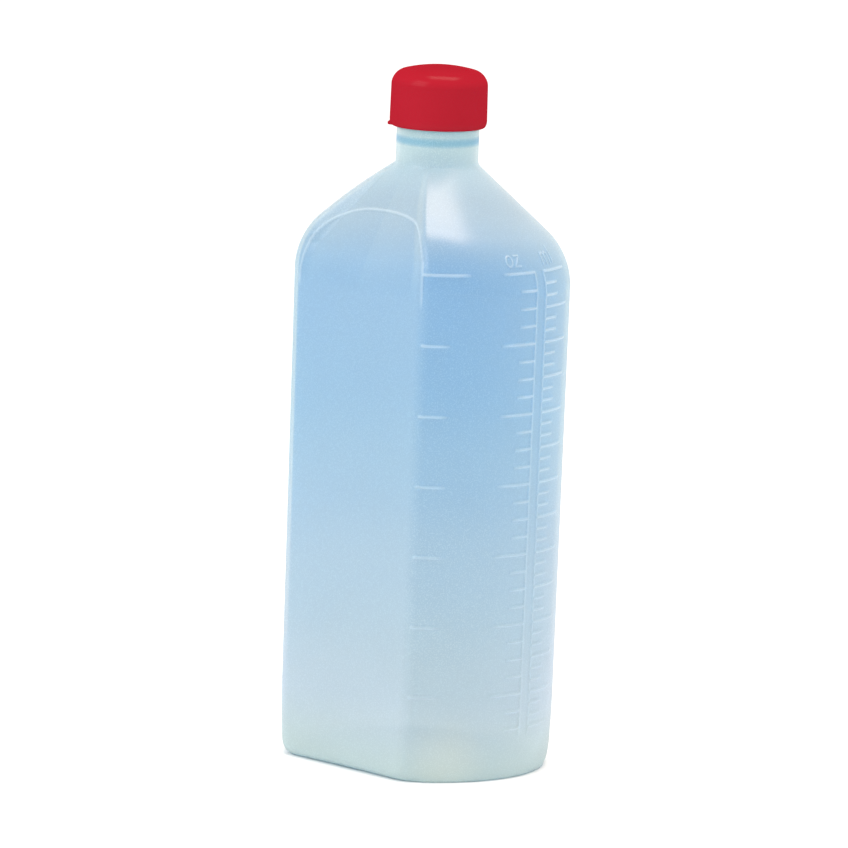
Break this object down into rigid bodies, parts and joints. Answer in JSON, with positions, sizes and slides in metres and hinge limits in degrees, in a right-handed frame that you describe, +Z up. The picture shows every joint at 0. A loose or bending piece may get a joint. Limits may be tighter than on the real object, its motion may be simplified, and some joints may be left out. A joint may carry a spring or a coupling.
{
  "type": "graduated plastic bottle",
  "caption": "Translucent plastic storage bottle with one flat label side, moulded graduations, a narrow threaded neck and a screw cap with a sealing liner.",
  "frame": {"origin": "middle of the bounding box, on the plane that the foot ring stands on", "axes": "+Z up along the neck, the flat label side faces -Y, the graduations are towards +X"},
  "size_m": [0.0882, 0.0765, 0.2238],
  "materials": {
    "frosted_bottle": "translucent blow-moulded polyethylene, satin",
    "red_cap": "injection-moulded polypropylene, semi-gloss",
    "foam_liner": "soft foamed polyethylene"
  },
  "bodies": {
    "bottle": {"bottle_body": "frosted_bottle"},
    "liner": {"cap_liner": "foam_liner"},
    "cap": {"screw_cap": "red_cap"}
  },
  "joints": [
    {"name": "cap_rise", "type": "slide", "parent": "bottle", "child": "liner", "axis": [0, 0, 1], "range_m": [0, 0.0212]},
    {"name": "cap_turn", "type": "hinge", "parent": "liner", "child": "cap", "pos_m": [0, -0.00568, 0.2048], "axis": [0, 0, 1], "range_deg": [0, 1800]}
  ],
  "couplings": [
    {"joint": "cap_rise", "follows": "cap_turn", "m_per_rad": 0.00067323}
  ]
}
